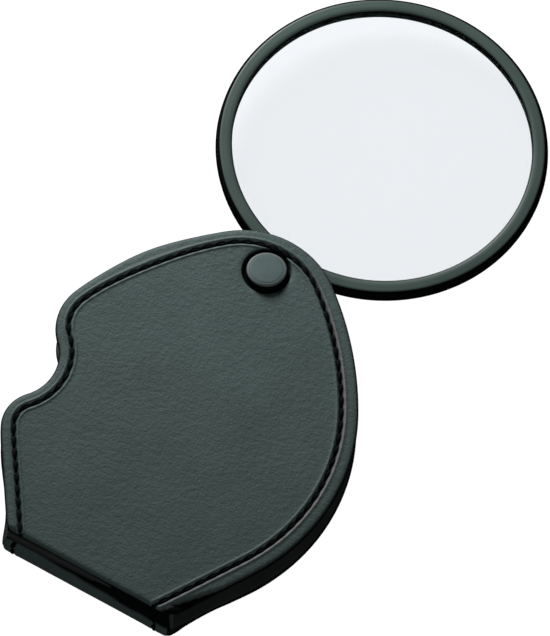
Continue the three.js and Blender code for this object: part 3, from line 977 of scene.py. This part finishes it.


class Graph:
    """A small helper for building one material's nodes."""

    def __init__(self, name):
        self.material = bpy.data.materials.new(name)
        self.material.use_nodes = True
        self.nodes = self.material.node_tree.nodes
        self.links = self.material.node_tree.links
        self.shader = self.nodes["Principled BSDF"]

    def add(self, kind, operation=None, **inputs):
        node = self.nodes.new("ShaderNode" + kind)
        if operation:
            node.operation = operation
        for key, value in inputs.items():
            self.set(node, key.replace("_", " "), value)
        return node

    def set(self, node, socket, value):
        """Links a socket to another's output, or gives it a plain value."""
        target = node.inputs[socket]
        if isinstance(value, bpy.types.NodeSocket):
            self.links.new(value, target)
        else:
            target.default_value = value

    def calculate(self, kind, operation, *values):
        """A node of this kind of sum, with its inputs in order."""
        node = self.add(kind, operation)
        for index, value in enumerate(values):
            self.set(node, index, value)
        return node.outputs[0]

    def finish(self, **values):
        """Sets the shader's inputs, and gives the material."""
        for key, value in values.items():
            self.set(self.shader, key.replace("_", " "), value)
        return self.material

    def place_noise(self, scale, detail=2.0, roughness=0.5, stretch=(1, 1, 1)):
        """Noise fixed to the object, scale in features per metre."""
        place_at = self.add("TexCoord").outputs["Object"]
        mapping = self.add("Mapping", Vector=place_at, Scale=stretch)
        vector = mapping.outputs["Vector"]
        node = self.add(
            "TexNoise", Vector=vector, Scale=scale, Detail=detail, Roughness=roughness
        )
        return node.outputs["Fac"]

    def pebbles(self, scale):
        """Distance to the edges between rounded cells."""
        place_at = self.add("TexCoord").outputs["Object"]
        node = self.add("TexVoronoi", Vector=place_at, Scale=scale)
        node.feature = "DISTANCE_TO_EDGE"
        return node.outputs["Distance"]

    def ramp(self, value, low, high, span=(0.3, 0.7)):
        """Goes from one screen colour, 0 to 255, to another as the value crosses the span."""
        node = self.add("ValToRGB", Fac=value)
        for element, position, colour in zip(node.color_ramp.elements, span, (low, high)):
            element.position = position
            element.color = (*(Color(colour) / 255).from_srgb_to_scene_linear(), 1)
        return node.outputs["Color"]

    def spread(self, value, low, high):
        node = self.add("MapRange", Value=value, To_Min=low, To_Max=high)
        return node.outputs["Result"]

    def add_values(self, first, second, weight):
        return self.calculate("Math", "MULTIPLY_ADD", second, weight, first)

    def bump(self, height, strength, distance):
        node = self.add("Bump", Height=height, Strength=strength, Distance=distance)
        self.set(self.shader, "Normal", node.outputs["Normal"])

    def shaded(self, colour):
        """The colour darkened by the mesh's painted shade, and lighter and warmer where it carries
        a painted highlight.
        """
        attribute = self.add("Attribute")
        attribute.attribute_name = "shade"
        shade = attribute.outputs["Fac"]
        scaled = self.add("VectorMath", "SCALE", Scale=shade)
        self.set(scaled, 0, colour)
        highlight = self.calculate("Math", "SUBTRACT", shade, 1.0)
        highlight.node.use_clamp = True
        warmth = self.calculate("VectorMath", "MULTIPLY_ADD", highlight, HIGHLIGHT_WARMTH, (1, 1, 1))
        return self.calculate("VectorMath", "MULTIPLY", scaled.outputs["Vector"], warmth)


def leather_material():
    """Fine-grained leather: creases that lean one way, pebbles between them, slow tone."""
    graph = Graph("leather")
    slow = graph.place_noise(90, 3, 0.55)
    creases = graph.place_noise(760, 4, 0.6, (1.0, 1.3, 1.0))
    mottle = graph.add_values(graph.spread(slow, 0.1, 0.7), creases, 0.5)
    tone = graph.ramp(mottle, (55, 69, 67), (69, 85, 83), (0.35, 0.95))
    relief = graph.add_values(creases, graph.pebbles(1400), 0.35)
    relief = graph.add_values(relief, graph.place_noise(3400, 2, 0.5), 0.12)
    graph.bump(relief, 0.6, 0.00026)
    roughness = graph.spread(creases, 0.55, 0.72)
    return graph.finish(
        Base_Color=graph.shaded(tone), Roughness=roughness, Specular_IOR_Level=0.18
    )


# Noise of the mottle and its tones; noise of the grain, or None where the mottle is the grain;
# strength and depth of the relief; the shader's other values.
PLAIN_MATERIALS = {
    "lining": (
        (150, 3, 0.5), ((24, 27, 26), (34, 38, 37)),
        (1500, 3, 0.6), 0.25, 0.0001, {"Roughness": 0.75},
    ),
    "thread": (
        (9000, 2, 0.6), ((2, 3, 4), (8, 9, 10), (0.3, 0.8)),
        None, 0.5, 0.00006, {"Roughness": 0.75, "Specular_IOR_Level": 0.04},
    ),
    # a near-black material for the faces painted black as shade
    "painted_shade_black": (
        (160, 2, 0.5), ((4, 5, 5), (9, 11, 11)),
        (4200, 2, 0.5), 0.2, 0.00005, {"Roughness": 0.9, "Specular_IOR_Level": 0.02},
    ),
    "washer_nylon": (
        (300, 2, 0.5), ((26, 28, 28), (38, 41, 41)),
        (4000, 2, 0.5), 0.1, 0.00004, {"Roughness": 0.5},
    ),
    "board": (
        (2500, 4, 0.7, (1, 4, 1)), ((128, 118, 100), (158, 148, 128)),
        None, 0.3, 0.0001, {"Roughness": 0.9},
    ),
    "zinc_steel": (
        (2200, 3, 0.6, (1, 1, 6)), ((170, 170, 168), (205, 205, 204)),
        None, 0.15, 0.00005, {"Metallic": 1.0, "Roughness": 0.35},
    ),
}


def plain_material(name):
    """A tone that wanders with the mottle, and a fine raised grain."""
    mottle, tones, grain, strength, depth, values = PLAIN_MATERIALS[name]
    graph = Graph(name)
    mottle = graph.place_noise(*mottle)
    graph.bump(graph.place_noise(*grain) if grain else mottle, strength, depth)
    return graph.finish(Base_Color=graph.ramp(mottle, *tones), **values)


def satin_material(name, slow, tones, grain, strength, depth, gloss, specular, shaded=True):
    """Plastic or paint whose tone and roughness wander slowly, with a fine even texture."""
    graph = Graph(name)
    slow = graph.place_noise(*slow)
    tone = graph.ramp(slow, *tones)
    colour = graph.shaded(tone) if shaded else tone
    graph.bump(graph.place_noise(*grain), strength, depth)
    roughness = graph.spread(slow, *gloss)
    return graph.finish(Base_Color=colour, Roughness=roughness, Specular_IOR_Level=specular)


def ring_material(name, shaded):
    """Satin moulded plastic."""
    tones = (53, 67, 63), (60, 75, 70)
    slow, grain, gloss = (70, 2, 0.5), (5200, 2, 0.5), (0.42, 0.52)
    return satin_material(name, slow, tones, grain, 0.1, 0.00004, gloss, 0.2, shaded)


def paint_material():
    """Satin paint on the pressed cap, rubbed a little brighter in places."""
    tones = (62, 76, 76), (72, 86, 85), (0.25, 0.8)
    slow, grain, gloss = (420, 4, 0.6), (3000, 2, 0.5), (0.44, 0.56)
    return satin_material("rivet_paint", slow, tones, grain, 0.12, 0.00005, gloss, 0.08)


def glass_material():
    """Clear glass with a very slight cool tint, darkened further as painted shade, and almost
    invisible polish marks.
    """
    graph = Graph("lens_glass")
    graph.bump(graph.place_noise(60, 2, 0.5), 0.02, 0.00002)
    # the tint's grey stands in for the shade seen through the lens: painted shade on top of the
    # glass's cool tint
    tint_and_shade = (0.86, 0.888, 0.915, 1)
    return graph.finish(Base_Color=tint_and_shade, Roughness=0.0, IOR=1.5, Transmission_Weight=1.0)


# ---- stage, light and camera

VIEW_AZIMUTH = 24.6
VIEW_ELEVATION = 64.9
VIEW_ROLL = -4.3
VIEW_DISTANCE = 1250.0
VIEW_TARGET_UP = -7.083
VIEW_TARGET_RIGHT = 1.807
PIXELS_PER_MM = 5.106
IMAGE_LONG_SIDE = 636


def view_turn():
    """The camera's turn, whose columns are its right, up and backward directions."""
    aim = Euler((math.radians(90 - VIEW_ELEVATION), 0, math.radians(VIEW_AZIMUTH)))
    return aim.to_matrix() @ Matrix.Rotation(math.radians(-VIEW_ROLL), 3, "Z")


def camera():
    """The camera at the photographed viewing angle."""
    data = bpy.data.cameras.new("camera")
    data.sensor_width = 36.0
    data.lens = data.sensor_width * PIXELS_PER_MM * VIEW_DISTANCE / IMAGE_LONG_SIDE
    data.clip_start = 0.01
    data.clip_end = 20
    obj = add_object("camera", data)
    right, up, back = view_turn().col
    target = Vector(PIVOT) + right * VIEW_TARGET_RIGHT + up * VIEW_TARGET_UP
    obj.matrix_world = view_turn().to_4x4()
    obj.location = (target + back * VIEW_DISTANCE) * MM
    bpy.context.scene.camera = obj


FLOOR_HALF_WIDTH = 2.5  # metres
FLOOR_DROP = 0.0002  # just under the object, in metres
FLOOR_GLOW = 1.0  # keeps the pale floor bright where the object shades it


def floor():
    """A plain pale floor that throws no light back up at the object."""
    half = FLOOR_HALF_WIDTH
    mesh = bpy.data.meshes.new("floor")
    corners = [(-half, -half, 0), (half, -half, 0), (half, half, 0), (-half, half, 0)]
    mesh.from_pydata(corners, [], [(0, 1, 2, 3)])
    obj = add_object("floor", mesh)
    obj.location.z = -FLOOR_DROP
    graph = Graph("floor")
    surface = {"Base_Color": (0.1, 0.1, 0.1, 1), "Roughness": 0.9, "Specular_IOR_Level": 0.0}
    graph.finish(**surface, Emission_Color=(1, 1, 1, 1), Emission_Strength=FLOOR_GLOW)
    graph.material.cycles.emission_sampling = "NONE"
    mesh.materials.append(graph.material)
    obj.visible_diffuse = False
    obj.visible_glossy = False


def softbox(name, along_right, along_up, height, size, power):
    """A square light aimed at the rivet, placed in metres by the camera's right and up."""
    right, up, _ = view_turn().col
    target = Vector((PIVOT[0], PIVOT[1], 0)) * MM
    shift = right.xy.normalized() * along_right + up.xy.normalized() * along_up
    place_at = target + Vector((*shift, height))
    data = bpy.data.lights.new(name, "AREA")
    data.size = size
    data.energy = power
    obj = add_object(name, data)
    obj.location = place_at
    obj.rotation_euler = (target - place_at).to_track_quat("-Z", "Y").to_euler()


SURROUND = 0.06
KEY_POWER = 2.45
FILL_POWER = 2.7


def studio():
    """A low key light behind the lens, a broad fill in front, and a weak white surround."""
    scene = bpy.context.scene
    scene.view_settings.view_transform = "Standard"
    scene.world = bpy.data.worlds.new("studio")
    scene.world.use_nodes = True
    background = scene.world.node_tree.nodes["Background"]
    background.inputs["Color"].default_value = (1, 1, 1, 1)
    background.inputs["Strength"].default_value = SURROUND
    softbox("key", -0.1, 0.3, 0.15, 0.1, KEY_POWER)
    softbox("fill", 0.1, -0.9, 0.45, 0.5, FILL_POWER)


# ---- assembly


def build_case(painted_shade_black):
    case = place(leather_case(), "case", leather_material(), "leather_cover")
    blacken(case, painted_shade_black, 0.12)
    place(seam_stitches(), "case", plain_material("thread"), "seam_thread")
    painted = paint_material()
    blacken(place(rivet_cap(), "case", painted, "rivet_cap"), painted_shade_black)
    place(rivet_post(), "case", painted, "rivet_post")
    place(rivet_pin(), "case", plain_material("zinc_steel"), "rivet_pin")
    nylon = plain_material("washer_nylon")
    for node in ("front_washer", "rear_washer"):
        place(washer(node), "case", nylon, node)


def build_lens_arm(painted_shade_black):
    plastic = ring_material("ring_plastic", True)
    blacken(place(lens_ring(), "lens_arm", plastic, "lens_ring"), painted_shade_black)
    snap = ring_material("snap_ring_plastic", False)
    place(retaining_ring(), "lens_arm", snap, "retaining_ring")
    place(lens(), "lens_arm", glass_material(), "lens")


def finish_cad_nodes():
    """Materials for the CAD solids that stay: the lining and the boards it closes in."""
    board = plain_material("board")
    finishes = {"lining": plain_material("lining"), "front_board": board, "rear_board": board}
    for name, material in finishes.items():
        mesh = frame["nodes"][name].data
        mesh.materials.clear()
        mesh.materials.append(material)


camera()
studio()
floor()
# the near-black finish for faces painted black as shade
painted_shade_finish = plain_material("painted_shade_black")
build_case(painted_shade_finish)
build_lens_arm(painted_shade_finish)
finish_cad_nodes()
